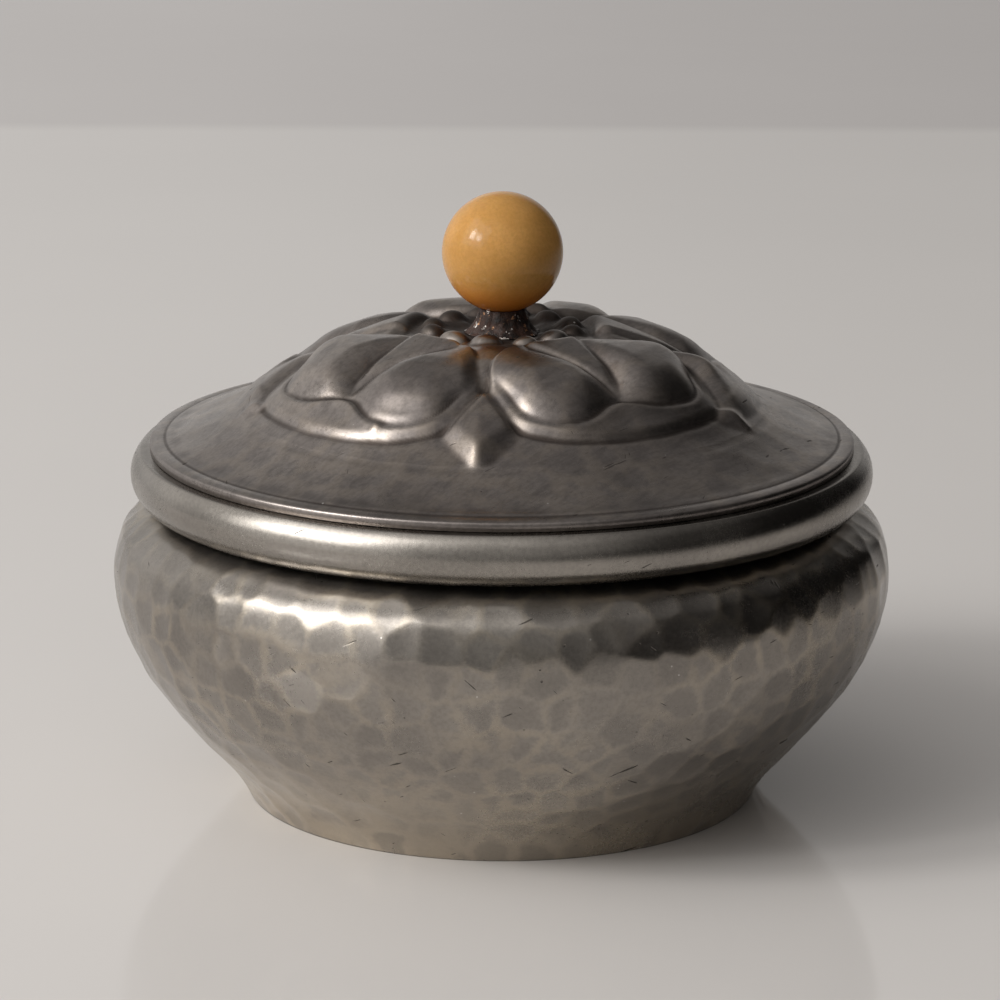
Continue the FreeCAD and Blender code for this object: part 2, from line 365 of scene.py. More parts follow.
def petal_relief(edge, cup, u, w, r, petal):
    """Height of a petal over the dome: rolled rim, two swellings and the fold between them."""
    rimmed = smooth(u, 19.0, 27.0)
    cup = cup + (1 - rimmed) * 0.85 * (edge - cup)
    notch = bump(w, 1.5, 7.5) * smooth(u, 29.0, 33.5)
    crest = CUP_EDGE + (CREST - CUP_EDGE + 0.35 * notch) * rimmed
    band = np.clip(edge / np.maximum(edge - cup, 0.4), 0, 1)
    lip = STEP + (crest - STEP) * band * (0.35 + 0.65 * band)
    fold = np.interp(u, *np.array(FOLD_LINE).T)
    half = np.interp(u, *np.array(FOLD_HALF).T)
    beside = np.abs(w - fold) - half
    peak = np.interp(r, *np.array(SWELLING).T)
    peak = CUP_EDGE + (peak - CUP_EDGE) * np.where(w < fold, *petal["full"])
    fill = np.clip(cup / 5.4, 0, 1)
    cushion = CUP_EDGE + (peak - CUP_EDGE) * fill * (2 - fill)
    reach = np.interp(u, [15, 20, 26, 30, 34], [2.6, 3.6, 5.4, 6.6, 7.2])
    valley = np.clip(1 - np.clip(beside, 0, None) / reach, 0, 1) ** 2
    bottom = np.minimum(cushion, CREASE_HEIGHT)
    inside = cushion - (cushion - bottom) * valley
    inside += (TONGUE - CREASE_HEIGHT) * smooth(-beside, -0.4, 1.4) * (1 - smooth(u, 23, 31))
    inside += (crest - CUP_EDGE) * (1 - smooth(cup, 0.0, 0.8))
    height = np.where(cup > 0, inside, lip)
    height -= CHASED_LINE * petal["cut"] * rimmed * np.clip(1 - np.abs(cup - 0.2) / 0.6, 0, 1)
    return height


def collar_relief(r, turn):
    """Raised ring round the middle, fuller where the two front petals meet."""
    collar = np.interp(r, *np.array(COLLAR).T)
    return collar + np.interp(r, *np.array(WEB).T) * bump(turn, WEB_TURN, WEB_HALF)


def bead_relief(r, turn):
    """Stamens round the middle, each a little different."""
    height = np.zeros(r.shape)
    for k in range(BEADS):
        centre = 360 / BEADS * (k - 0.4) + rng.uniform(-2.5, 2.5)
        radius = BEAD_R + rng.uniform(-0.5, 0.5)
        size = rng.uniform(0.85, 1.12)
        offset = np.radians((turn - centre + 180) % 360 - 180)
        along = (r * np.cos(offset) - radius) / (2.1 * size)
        across = r * np.sin(offset) / (2.45 * size)
        height = np.maximum(height, 1.35 * size * np.clip(1 - along ** 2 - across ** 2, 0, None) ** 0.7)
    return height


def lid_relief(r, turn):
    """Height of the lid's upper side at each (radius, turn), with every raised detail."""
    base = dome(r)
    top = base.copy()
    for k in range(5):
        offset = np.radians((turn - SEPAL_TURN - SECTOR * k + 180) % 360 - 180)
        u, w = r * np.cos(offset), r * np.sin(offset)
        near = (u > 20) & (u < 46) & (np.abs(w) < 9)
        d = np.full(r.shape, -9.0)
        d[near] = signed_distance(u[near], w[near], spline(SEPAL, 90, closed=True))
        fresh = 1.0 if k == 0 else 0.5
        top += fresh * smooth(d, -0.35, 2.6) ** 0.8 * (1.3 + 0.9 * np.clip(1 - np.abs(w) / 5.0, 0, 1))
    offset = np.radians(turn - DROP_TURN)
    gap = np.hypot(r * np.cos(offset) - DROP_R, r * np.sin(offset))
    drop = DROP_HIGH * np.clip(1 - (gap / DROP_HALF) ** 2, 0, None) ** 0.7
    collar = collar_relief(r, turn)
    laid = [petal_layout(r, turn, petal) for petal in PETALS]
    foot = np.clip(1 + np.max([edge for edge, _, _, _ in laid], axis=0) / FILLET_REACH, 0, 1)
    top += FILLET * foot ** 2
    for k, (edge, cup, u, w) in enumerate(laid):
        height = petal_relief(edge, cup, u, w, r, PETALS[k])
        height = collar + (1 - collar / 4.95) * height
        tucked = np.interp(r, [14, 20, 26, 32, 38], [1.5, 1.8, 1.7, 1.4, 0.9])
        for upper_edge, _, _, _ in laid[k + 1:]:
            free = smooth(-upper_edge, -0.5, 4.5)
            height = np.minimum(height, tucked + np.clip(height - tucked, 0, None) * free)
        cut = PETALS[k]["cut"]
        blend = 1.0 + 2.0 * (1 - cut) + 3.0 * smooth(r, 23.0, 16.0)
        covered = smooth(edge / blend, -0.30, 0.55)
        fade = smooth(r, 12.8, 15.5)
        top = top * (1 - covered * fade) + (base + height) * covered * fade
        top -= OUTER_LINE * cut * fade * np.clip(1 - np.abs(edge + 0.5) / 0.55, 0, 1)
    top = np.maximum(top, base + collar)
    ribs = np.cos(np.radians(turn * 9 + 40)) + 0.5 * np.cos(np.radians(turn * 14 + 10))
    floor = WELL_Z + 0.45 * smooth(r, 6.5, 9.5) + 0.25 * ribs * bump(r, 7.6, 2.0)
    centre = 1 - smooth(r, 11.8, 14.2)
    top = top * (1 - centre) + floor * centre
    return top + bead_relief(r, turn) + drop


def softened(height, passes):
    """Heights of a (radius, turn) grid averaged with their neighbours."""
    for _ in range(passes):
        height = (np.roll(height, 1, 1) + height + np.roll(height, -1, 1)) / 3
        padded = np.pad(height, ((1, 1), (0, 0)), mode="edge")
        height = (padded[:-2] + padded[1:-1] + padded[2:]) / 3
    return height


def crest_and_crease(height, reach):
    """How far each point of a grid stands proud of, or lies under, its neighbourhood."""
    proud = height - softened(height, reach)
    return np.clip(proud, 0, None), np.clip(-proud, 0, None)


# ---------------------------------------------------------------- materials

class Paint:
    """Short forms for building one material's nodes."""

    def __init__(self, name):
        self.material = bpy.data.materials.new(name)
        self.material.use_nodes = True
        self.nodes = self.material.node_tree.nodes
        self.links = self.material.node_tree.links
        self.shader = self.nodes["Principled BSDF"]
        self.place = self.nodes.new("ShaderNodeTexCoord").outputs["Object"]

    def put(self, socket, value):
        """Links a socket to another node's output, or gives it a fixed value."""
        if isinstance(value, bpy.types.NodeSocket):
            self.links.new(value, socket)
        else:
            socket.default_value = value

    def set(self, name, value):
        self.put(self.shader.inputs[name], value)

    def stretched(self, scale, turn=(0, 0, 0)):
        """The place turned first, then scaled along the turned axes."""
        place = self.place
        for field, value in (("Rotation", turn), ("Scale", scale)):
            node = self.nodes.new("ShaderNodeMapping")
            node.inputs[field].default_value = value
            self.links.new(place, node.inputs["Vector"])
            place = node.outputs["Vector"]
        return place

    def noise(self, per_mm, detail=3.0, rough=0.55, place=None, warp=0.0):
        node = self.nodes.new("ShaderNodeTexNoise")
        node.inputs["Scale"].default_value = per_mm / MM
        node.inputs["Detail"].default_value = detail
        node.inputs["Roughness"].default_value = rough
        node.inputs["Distortion"].default_value = warp
        self.links.new(place or self.place, node.inputs["Vector"])
        return node.outputs["Fac"]

    def along(self, axis):
        """Place along one axis, in metres."""
        node = self.nodes.new("ShaderNodeSeparateXYZ")
        self.links.new(self.place, node.inputs[0])
        return node.outputs[axis]

    def cells(self, per_mm, place=None):
        node = self.nodes.new("ShaderNodeTexVoronoi")
        node.inputs["Scale"].default_value = per_mm / MM
        self.links.new(place or self.place, node.inputs["Vector"])
        return node.outputs["Distance"]

    def attribute(self, name):
        node = self.nodes.new("ShaderNodeAttribute")
        node.attribute_name = name
        return node.outputs["Fac"]

    def span(self, value, low, high, start=0.0, end=1.0):
        """An S-curve from start, where the value is low, to end, where it is high."""
        node = self.nodes.new("ShaderNodeMapRange")
        node.interpolation_type = "SMOOTHSTEP"
        self.put(node.inputs["Value"], value)
        node.inputs["From Min"].default_value = low
        node.inputs["From Max"].default_value = high
        node.inputs["To Min"].default_value = start
        node.inputs["To Max"].default_value = end
        return node.outputs["Result"]

    def math(self, kind, a, b=0.0):
        node = self.nodes.new("ShaderNodeMath")
        node.operation = kind
        self.put(node.inputs[0], a)
        self.put(node.inputs[1], b)
        return node.outputs[0]

    def mix(self, share, a, b):
        node = self.nodes.new("ShaderNodeMix")
        node.data_type = "RGBA"
        self.put(node.inputs["Factor"], share)
        self.put(node.inputs["A"], a if isinstance(a, bpy.types.NodeSocket) else (*a, 1))
        self.put(node.inputs["B"], b if isinstance(b, bpy.types.NodeSocket) else (*b, 1))
        return node.outputs["Result"]

    def bumps(self, *layers):
        """Small relief from (height, distance in mm) layers."""
        normal = None
        for height, distance in layers:
            node = self.nodes.new("ShaderNodeBump")
            node.inputs["Distance"].default_value = distance * MM
            node.inputs["Strength"].default_value = 1.0
            self.put(node.inputs["Height"], height)
            if normal:
                self.links.new(normal, node.inputs["Normal"])
            normal = node.outputs["Normal"]
        self.set("Normal", normal)


def pewter(name, dark, pale, rough, edge=None, ridge=0.46, patina_and_shade=None, crest=None, foot=False, streaks=0.0,
           scratches=1.0, grain=1.0):
    """Aged pewter: blotchy grey-brown patina, worn high spots, pits, specks and fine scratches, with dark
    patina and painted shade where a point attribute says, and a painted reflection of the pale table
    towards the foot.
    """
    p = Paint(name)
    blotch = p.noise(0.055, 4, 0.6)
    colour = p.mix(p.span(blotch, 0.30, 0.70), dark, pale)
    cloud = p.span(p.noise(0.22, 4, 0.6), 0.35, 0.7)
    colour = p.mix(p.math("MULTIPLY", cloud, 0.28), colour, tuple(0.78 * c for c in dark))
    tan = tuple(c * t for c, t in zip(pale, (1.28, 1.20, 1.05)))
    fine = p.span(p.noise(1.3, 4, 0.75), 0.42, 0.62)
    colour = p.mix(p.math("MULTIPLY", fine, 0.26), colour, tuple(0.55 * c for c in dark))
    if streaks:
        smoky = p.span(p.noise(0.55, 4, 0.6, p.stretched((0.2, 1, 1), (0, 0, -1.0)), 0.3), 0.45, 0.70)
        colour = p.mix(p.math("MULTIPLY", smoky, streaks), colour, tuple(0.62 * c for c in dark))
        strokes = p.span(p.noise(1.5, 3, 0.6, p.stretched((0.22, 1, 1), (0, 0, -0.8)), 0.3), 0.48, 0.64)
        colour = p.mix(p.math("MULTIPLY", strokes, 0.6 * streaks), colour, tuple(0.55 * c for c in dark))
    # Painted reflection of the pale table: paler towards the foot.
    if foot:
        foot_painted_reflection = p.span(p.along("Z"), 0.001, 0.022, 0.36, 0.0)
        colour = p.mix(foot_painted_reflection, colour, tuple(1.5 * c for c in tan))
    if edge:
        frayed = p.math("ADD", p.attribute(edge), p.span(p.noise(0.45, 4, 0.65), 0.25, 0.75, -0.09, 0.09))
        near = p.span(frayed, 0.0, 0.19, 1.0, 0.0)
        worn = p.span(p.noise(0.06, 3), 0.35, 0.65, 0.2, 1.0)
        colour = p.mix(p.math("MULTIPLY", p.math("MULTIPLY", near, worn), ridge), colour, tan)
        shade = p.span(p.attribute("tone"), 0.0, 1.0, 0.2, 1.0)
        inside = p.math("MULTIPLY", p.span(frayed, 0.06, 0.30), shade)
        colour = p.mix(p.math("MULTIPLY", inside, ridge), colour, tuple(0.80 * c for c in dark))
    if crest:
        colour = p.mix(p.span(p.attribute(crest), 0.02, 0.35, 0.0, 0.4), colour, tan)
    # Dark patina in hollows and painted shade, from a point attribute.
    if patina_and_shade:
        low = p.span(p.attribute(patina_and_shade), 0.03, 0.22, 0.0, 0.88)
        colour = p.mix(low, colour, (0.046, 0.036, 0.031))
    slits = []
    for turn, stretch, cut in (((0.2, 0.4, 0.1), (1, 1, 9), 0.765), ((0.9, 0.3, 0.8), (9, 1, 1), 0.775)):
        slits.append(p.span(p.noise(0.16, 2, 0.5, p.stretched(stretch, turn)), cut - 0.03, cut))
    slit = p.math("MULTIPLY", p.math("MAXIMUM", *slits), scratches)
    colour = p.mix(p.math("MULTIPLY", slit, 0.75), colour, (0.03, 0.026, 0.024))
    pits = p.span(p.cells(0.42), 0.05, 0.10, 1.0, 0.0)
    pits = p.math("MULTIPLY", pits, p.span(p.noise(0.12, 2), 0.52, 0.62))
    colour = p.mix(p.math("MULTIPLY", pits, 0.55), colour, (0.05, 0.043, 0.04))
    specks = p.span(p.cells(0.35, p.stretched((1, 1, 1), (0.4, 0.7, 0.2))), 0.04, 0.07, 1.0, 0.0)
    sown = p.span(p.noise(0.10, 2, 0.5, p.stretched((1, 1, 1), (1, 0.2, 2))), 0.55, 0.62)
    specks = p.math("MULTIPLY", specks, sown)
    colour = p.mix(p.math("MULTIPLY", specks, 0.6), colour, (0.75, 0.73, 0.70))
    p.set("Base Color", colour)
    p.set("Metallic", 1.0)
    haze = p.span(p.noise(1.6, 3, 0.7), 0.35, 0.65, -0.02, 0.045)
    patch = p.span(p.noise(0.07, 3), 0.3, 0.7, -0.03, 0.05)
    roughness = p.math("ADD", p.math("ADD", haze, patch), rough)
    roughness = p.math("ADD", roughness, p.math("MULTIPLY", slit, 0.3))
    if patina_and_shade:
        roughness = p.math("ADD", roughness, p.span(p.attribute(patina_and_shade), 0.03, 0.3, 0.0, 0.25))
    if foot:
        roughness = p.math("ADD", roughness, p.span(p.along("Z"), 0.0435, 0.0475, 0.0, 0.16))
    p.set("Roughness", roughness)
    lines = p.noise(0.9, 3, 0.6, p.stretched((1, 1, 6), (0.3, 0.2, 0)))
    p.bumps((p.noise(1.1, 4, 0.65), 0.012 * grain), (lines, 0.006 * grain),
            (p.math("MULTIPLY", p.math("MAXIMUM", slit, pits), -1.0), 0.03))
    return p.material


def resin():
    """Cast ochre resin, satin polished, with a faint grain and a painted orange glow towards its underside.
    """
    p = Paint("knob_resin")
    mottled = p.span(p.noise(0.14, 4, 0.6), 0.3, 0.7)
    colour = p.mix(mottled, (0.480, 0.250, 0.070), (0.550, 0.292, 0.088))
    fine = p.span(p.noise(1.8, 3, 0.7), 0.35, 0.68)
    colour = p.mix(p.math("MULTIPLY", fine, 0.35), colour, (0.34, 0.170, 0.044))
    # Painted glow: more orange towards the ball's underside.
    painted_underglow = p.span(p.along("Z"), (BALL_Z - BALL_R) * MM, (BALL_Z - 0.25 * BALL_R) * MM, 1.0, 0.0)
    colour = p.mix(painted_underglow, colour, (0.72, 0.225, 0.024))
    p.set("Base Color", colour)
    p.set("Roughness", p.span(p.noise(0.5, 3), 0.3, 0.7, 0.10, 0.16))
    p.set("IOR", 1.40)
    p.set("Specular IOR Level", 0.28)
    p.set("Subsurface Weight", 0.15)
    p.set("Subsurface Radius", (1.0, 0.40, 0.10))
    p.set("Subsurface Scale", 0.0030)
    p.bumps((p.noise(1.6, 3, 0.65), 0.022), (p.noise(0.25, 2), 0.03))
    return p.material


def solder():
    """Crusty brown solder and cement with coppery and silvery grains."""
    p = Paint("old_solder")
    colour = p.mix(p.span(p.noise(0.55, 4, 0.6), 0.35, 0.65), (0.010, 0.007, 0.006), (0.050, 0.026, 0.019))
    copper = p.span(p.noise(0.8, 3, 0.6, p.stretched((1, 1, 1), (1, 2, 3))), 0.60, 0.68)
    colour = p.mix(copper, colour, (0.50, 0.27, 0.15))
    silver = p.span(p.noise(0.7, 3, 0.6, p.stretched((1, 1, 1), (3, 1, 2))), 0.62, 0.67)
    colour = p.mix(silver, colour, (0.72, 0.68, 0.64))
    p.set("Base Color", colour)
    p.set("Metallic", p.math("MULTIPLY", p.math("MAXIMUM", copper, silver), 0.8))
    p.set("Roughness", p.span(p.noise(1.0, 2), 0.3, 0.7, 0.35, 0.65))
    p.set("Specular IOR Level", 0.25)
    p.bumps((p.noise(0.9, 4, 0.75), 0.30))
    return p.material


def brass():
    """Tarnished brass."""
    p = Paint("brass")
    tarnish = p.span(p.noise(0.3, 4, 0.6), 0.35, 0.7)
    p.set("Base Color", p.mix(tarnish, (0.62, 0.46, 0.22), (0.27, 0.17, 0.08)))
    p.set("Metallic", 1.0)
    p.set("Roughness", p.span(p.noise(0.6, 3), 0.3, 0.7, 0.28, 0.45))
    p.bumps((p.noise(1.5, 3), 0.02))
    return p.material


HAMMERED = pewter("hammered_pewter", (0.29, 0.267, 0.243), (0.39, 0.361, 0.324), 0.205,
                  edge="edge", foot=True, grain=0.45)
CHASED = pewter("chased_pewter", (0.245, 0.219, 0.206), (0.355, 0.320, 0.298), 0.31,
                edge="edge", ridge=0.30, patina_and_shade="patina_and_shade", crest="crest", streaks=0.5, scratches=0.8)
PLAIN = pewter("plain_pewter", (0.295, 0.274, 0.25), (0.39, 0.363, 0.328), 0.225,
               patina_and_shade="patina_and_shade", scratches=0.7, grain=0.6)
RESIN = resin()
SOLDER = solder()
BRASS = brass()


# ---------------------------------------------------------------- the bowl

# (radius, height) down the outside of the wall, from the foot to the mouth
WALL = [
    (FOOT_R, 0.0), (44.4, 5.2), (51.3, 12.9), (57.9, 21.6), (61.5, 29.9),
    (BELLY_R, BELLY_Z), (61.3, 42.7), (58.8, 45.6), (56.0, 47.1),
    (MOUTH_RING_R + SOLDER_GAP, SEAT_Z - SHOULDER_DROP),
]


def bowl():
    """Hammered wall, from the mouth's edge down to the foot and back up inside."""
    around, rows = 640, 124
    outside = spline(WALL, rows)
    outside[:, 0] = np.minimum(outside[:, 0], BELLY_R)
    outward = normals_of_section(outside)
    grid = turn_section(outside, around)
    run = np.r_[0, np.cumsum(np.hypot(*np.diff(outside, axis=0).T))]
    courses = []
    at = 1.5
    while at < run[-1]:
        r, z = (np.interp(at, run, outside[:, k]) for k in range(2))
        dr, dz = -np.interp(at, run, outward[:, 1]), np.interp(at, run, outward[:, 0])
        courses.append((r, z, dr, dz))
        at += COURSE_STEP + rng.uniform(-0.5, 0.5)
    seeds = hammer_seeds(courses, BLOW_STEP)
    depth, edge, tone = hammered(grid, seeds, hollow=0.0145, soft=0.008, tilt=0.024)
    quiet = smooth(run, 0, 1.5)[:, None] * smooth(run, run[-1], run[-1] - 3.0)[:, None]
    deep = np.clip(depth - 0.16, -0.30, 0.0) * quiet
    angle = np.linspace(0, 2 * np.pi, around, endpoint=False)
    push = np.stack([outward[:, :1] * np.sin(angle), -outward[:, :1] * np.cos(angle),
                     outward[:, 1:] + 0 * angle], -1)
    grid = grid + push * deep[..., None]
    inner = outside[::-5] - BOWL_SHEET * outward[::-5]
    inner = inner[inner[:, 1] > 0.4]
    inner = np.vstack([inner, [(inner[-1, 0] - 0.2, 0.0)]])
    neck_r = MOUTH_RING_R + SOLDER_GAP
    lip = np.array([(neck_r, SEAT_Z - 0.5), (neck_r, SEAT_Z - 1.2)])
    rest = turn_section(np.vstack([lip, inner]), around)
    whole = np.concatenate([grid, rest])
    pad = ((0, len(rest)), (0, 0))
    tints = {
        "edge": np.pad(edge, pad, constant_values=1.0),
        "tone": np.pad(tone, pad, constant_values=0.5),
    }
    mesh_from_grid("bowl_wall", whole, HAMMERED, "bowl", "bowl_shell", tints)


# ---------------------------------------------------------------- the lid

def lid():
    """Domed sheet with the flower on top, and the same relief, coarser, underneath."""
    around = 600
    radii = np.r_[np.linspace(2.1, 6.0, 4), np.arange(6.6, 12.0, 0.45), np.arange(12.0, 43.0, 0.33),
                  np.linspace(43.6, 53.6, 14), np.linspace(53.9, 56.0, 9)]
    angle = np.linspace(0, 2 * np.pi, around, endpoint=False)
    r, turn = np.meshgrid(radii, np.degrees(angle), indexing="ij")
    turn = (turn + 180) % 360 - 180
    top = lid_relief(r, turn)
    soft = softened(top, 1)
    under = soft - LID_SHEET
    flat = np.stack([r * np.sin(angle), -r * np.cos(angle), dome(r)], -1)
    courses = [(x, float(dome(x)), 1.0, 0.0) for x in np.arange(4.0, 55.0, LID_COURSE_STEP)]
    seeds = hammer_seeds(courses, LID_BLOW_STEP)
    depth, edge, tone = hammered(flat, seeds, hollow=0.0065, soft=0.03, tilt=0.012)
    raised = np.clip((soft - dome(r)) / 2.0, 0, 1)
    soft += np.clip(depth - 0.11, -0.22, 0.0) * (1 - 0.75 * raised) * smooth(r, 54.0, 52.0)
    soft += 0.16 * bump(r, 55.3, 1.3) - 0.08 * bump(r, 54.0, 0.5)
    # Dark patina in the relief's hollows and in the groove at r 54.
    crest, patina_and_shade = crest_and_crease(soft, 5)
    patina_and_shade += 0.06 * bump(r, 54.0, 0.5)
    # Painted shade: darker in the well round the mound, reaching further out towards the back, and over the
    # rear petals' inner ends.
    rear_painted_shade = smooth(np.abs(turn), 40.0, 120.0)
    patina_and_shade += 0.24 * smooth(r, 13.2 + 4.5 * rear_painted_shade, 9.6 + 4.0 * rear_painted_shade)
    patina_and_shade += 0.11 * rear_painted_shade * smooth(r, 25.0, 19.0)
    last = float(soft[-1].mean())
    edge_line = np.array([(56.22, last - 0.10), (56.36, last - 0.30), (LID_R, last - 0.60),
                          (LID_R, 56.75), (56.25, 56.62)])
    keep = np.r_[0:len(radii):6, len(radii) - 1][::-1]
    grid = np.concatenate([
        np.stack([r * np.sin(angle), -r * np.cos(angle), soft], -1),
        turn_section(edge_line, around),
        np.stack([r * np.sin(angle), -r * np.cos(angle), under], -1)[keep],
    ])
    pad = ((0, len(grid) - len(radii)), (0, 0))
    tints = {
        "crest": np.pad(crest, pad),
        "patina_and_shade": np.pad(patina_and_shade, pad),
        "edge": np.pad(edge, pad, constant_values=1.0),
        "tone": np.pad(tone, pad, constant_values=0.5),
    }
    mesh_from_grid("lid_flower", grid, CHASED, "lid", "lid_shell", tints)


def ring_arc(half_w, half_h, start, end, count):
    """Part of an ellipse round the middle of the moulding's section, between two angles in degrees."""
    a = np.radians(np.linspace(start, end, count))
    return np.column_stack([RING_MID_R + half_w * np.cos(a), RING_MID_Z + half_h * np.sin(a)])


def rim_ring():
    """Hollow half-round moulding soldered under the lid's edge, with painted shade in its joints."""
    roof = np.array([(x, float(dome(x)) - LID_SHEET - SOLDER_GAP) for x in (53.2, 54.4, 55.6, 56.45)])
    outer = ring_arc(RING_HALF_W, RING_HALF_H, 51, -86, 76)
    outer = np.vstack([[(57.15, 56.42)], outer])
    bottom = np.array([(53.0, RING_LOW_Z), (50.7, RING_LOW_Z), (50.58, RING_LOW_Z + 0.15),
                       (50.58, RING_LOW_Z + 1.1)])
    inner = ring_arc(RING_HALF_W - RING_SHEET, RING_HALF_H - RING_SHEET, -88, 60, 16)
    section = np.vstack([roof, outer, bottom, inner, [(roof[0, 0], roof[0, 1] - RING_SHEET)]])
    around = 480
    grid = turn_section(section, around)
    angle = np.linspace(0, 2 * np.pi, around, endpoint=False)
    wave = sum(rng.uniform(0.4, 1) * np.sin(k * angle + rng.uniform(0, 6.3)) for k in (3, 5, 8, 13, 21))
    share = np.zeros((len(section), 1))
    share[len(roof):len(roof) + len(outer), 0] = np.sin(np.linspace(0, np.pi, len(outer)))
    push = 0.018 * wave[None] * share
    grid[..., 0] += push * np.sin(angle)
    grid[..., 1] -= push * np.cos(angle)
    height = section[:, 1:] + 0 * angle
    # Painted shade in the groove under the lid's edge and along the ring's bottom edge.
    patina_and_shade = 0.10 * smooth(height, 56.1, 56.42) + 0.4 * smooth(height, RING_LOW_Z + 0.35, RING_LOW_Z + 0.05)
    mesh_from_grid("lid_ring", grid, PLAIN, "lid", "lid_rim_ring", {"patina_and_shade": patina_and_shade})


def turned_piece(name, corners, material, body, node, step=0.8, round_r=0.2, around=240):
    """Plain turned piece from the corners of its section."""
    section = polyline(corners, step, round_r)
    grid = turn_section(section, around)
    mesh_from_grid(name, grid, material, body, node, {"patina_and_shade": np.zeros(grid.shape[:2])})


def bezel():
    """Upright band that drops into the mouth."""
    inner_r = BEZEL_R - BEZEL_SHEET
    turned_piece("lid_band", [
        (inner_r, BEZEL_LOW_Z), (BEZEL_R, BEZEL_LOW_Z),
        (BEZEL_R, float(dome(BEZEL_R)) - LID_SHEET - SOLDER_GAP),
        (inner_r, float(dome(inner_r)) - LID_SHEET - SOLDER_GAP),
    ], PLAIN, "lid", "lid_bezel", step=0.5, round_r=0.25, around=300)


def mouth():
    """Ring soldered in the mouth, which the lid rests on."""
    turned_piece("mouth_band", [
        (MOUTH_R, MOUTH_RING_Z), (MOUTH_RING_R, MOUTH_RING_Z), (MOUTH_RING_R, SEAT_Z), (MOUTH_R, SEAT_Z),
    ], PLAIN, "bowl", "mouth_ring", step=0.4, round_r=0.25, around=300)


def base():
    """Flat disc let into the foot."""
    turned_piece("base_disc", [
        (0, BASE_LOW_Z), (BASE_R - 1.0, BASE_LOW_Z), (BASE_R - 0.1, BASE_HIGH_Z), (0, BASE_HIGH_Z),
    ], PLAIN, "bowl", "base_plate", step=1.0, round_r=0.1, around=300)


# ---------------------------------------------------------------- the knob

def ball():
    """Turned ball with the blind bore that its stud goes into."""
    around, rows = 160, 90
    bore = STUD_R + BORE_CLEAR
    start = math.asin(bore / BALL_R)
    a = np.linspace(start, math.pi, rows)
    section = np.column_stack([BALL_R * np.sin(a), BALL_Z - BALL_R * np.cos(a)])
    section[-1, 0] = 0.0
    top = STUD_HIGH_Z + BORE_END_CLEAR
    section = np.vstack([section, [(0.0, top), (bore, top)]])
    mesh_from_grid("ball", turn_section(section, around), RESIN, "lid", "knob_ball")


def seat():
    """Rough mound that the ball beds into, just clear of the ball and of its stud."""
    around, rows, clear = 220, 56, 0.06
    angle = np.linspace(0, 2 * np.pi, around, endpoint=False)
    t = np.linspace(0, 1, rows)[:, None]
    lumps = 0
    for k in (2, 3, 5, 7, 9, 13, 17):
        wander = rng.uniform(-5, 5) * t + np.sin(rng.uniform(1, 6) * t + rng.uniform(0, 6.3))
        share = rng.uniform(0.5, 1.0) / k ** 0.45
        lumps = lumps + share * np.sin(k * angle + rng.uniform(0, 6.3) + wander)
    r = SEAT_BASE_R - 0.15 - 2.3 * t ** 0.5 + 0.20 * lumps
    r = np.clip(r, STUD_R + 0.3, SEAT_BASE_R)
    z = WELL_Z + (SEAT_TOP_Z - 0.1 - WELL_Z) * t + 0 * r
    bore = STUD_R + clear
    under_ball = BALL_Z - np.sqrt((BALL_R + clear) ** 2 - r ** 2)
    z = np.minimum(z, under_ball)
    bore_top = BALL_Z - math.sqrt((BALL_R + clear) ** 2 - bore ** 2)
    r = np.concatenate([r, np.full((2, around), bore)])
    z = np.concatenate([z, np.full((1, around), bore_top), np.full((1, around), WELL_Z)])
    grid = np.stack([r * np.sin(angle), -r * np.cos(angle), z], -1)
    mesh_from_grid("knob_mound", grid, SOLDER, "lid", "knob_seat")


def dress(node, material):
    """Gives a CAD node that stays in view its finish."""
    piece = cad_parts[node]
    piece.data.materials.clear()
    piece.data.materials.append(material)


bowl()
base()
mouth()
lid()
rim_ring()
bezel()
ball()
seat()
for node in ("knob_stud", "knob_washer", "knob_nut"):
    dress(node, BRASS)


# ---------------------------------------------------------------- table, light and camera

# From another script's camera solve on the outlines of the foot, the belly and the lid's rim
CAMERA_DISTANCE, CAMERA_HEIGHT = 0.69855, 0.22631
CAMERA_TURNS = (0.2510, 0.0004, 0.0031)    # pitch, yaw and roll, in radians
LENS = 161.09


def direction(azimuth, elevation):
    """Unit vector, azimuth in degrees from -Y towards +X."""
    a, e = math.radians(azimuth), math.radians(elevation)
    return Vector((math.sin(a) * math.cos(e), -math.cos(a) * math.cos(e), math.sin(e)))


def table_top():
    """Pale polished table, greyer past its far edge and shaded to the right."""
    mesh = bpy.data.meshes.new("table")
    half = 6.0
    corners = [(-half, -half, 0), (half, -half, 0), (half, half, 0), (-half, half, 0)]
    mesh.from_pydata(corners, [], [(0, 1, 2, 3)])
    table = bpy.data.objects.new("table", mesh)
    bpy.context.scene.collection.objects.link(table)
    p = Paint("table")
    back = p.span(p.along("Y"), 0.625, 0.645)
    cloud = p.span(p.noise(0.004, 3), 0.3, 0.7)
    near = p.mix(cloud, (0.615, 0.592, 0.575), (0.635, 0.612, 0.594))
    far = p.mix(cloud, (0.50, 0.474, 0.466), (0.522, 0.496, 0.488))
    away = p.math("ADD", p.math("MULTIPLY", p.along("Y"), -0.8), p.math("MULTIPLY", p.along("X"), 0.6))
    shade = p.span(away, 0.13, 0.40)
    near = p.mix(shade, near, (0.20, 0.195, 0.19))
    p.set("Base Color", p.mix(back, near, far))
    p.set("Roughness", p.span(p.noise(0.02, 3), 0.3, 0.7, 0.07, 0.10))
    p.set("IOR", 1.28)
    mesh.materials.append(p.material)


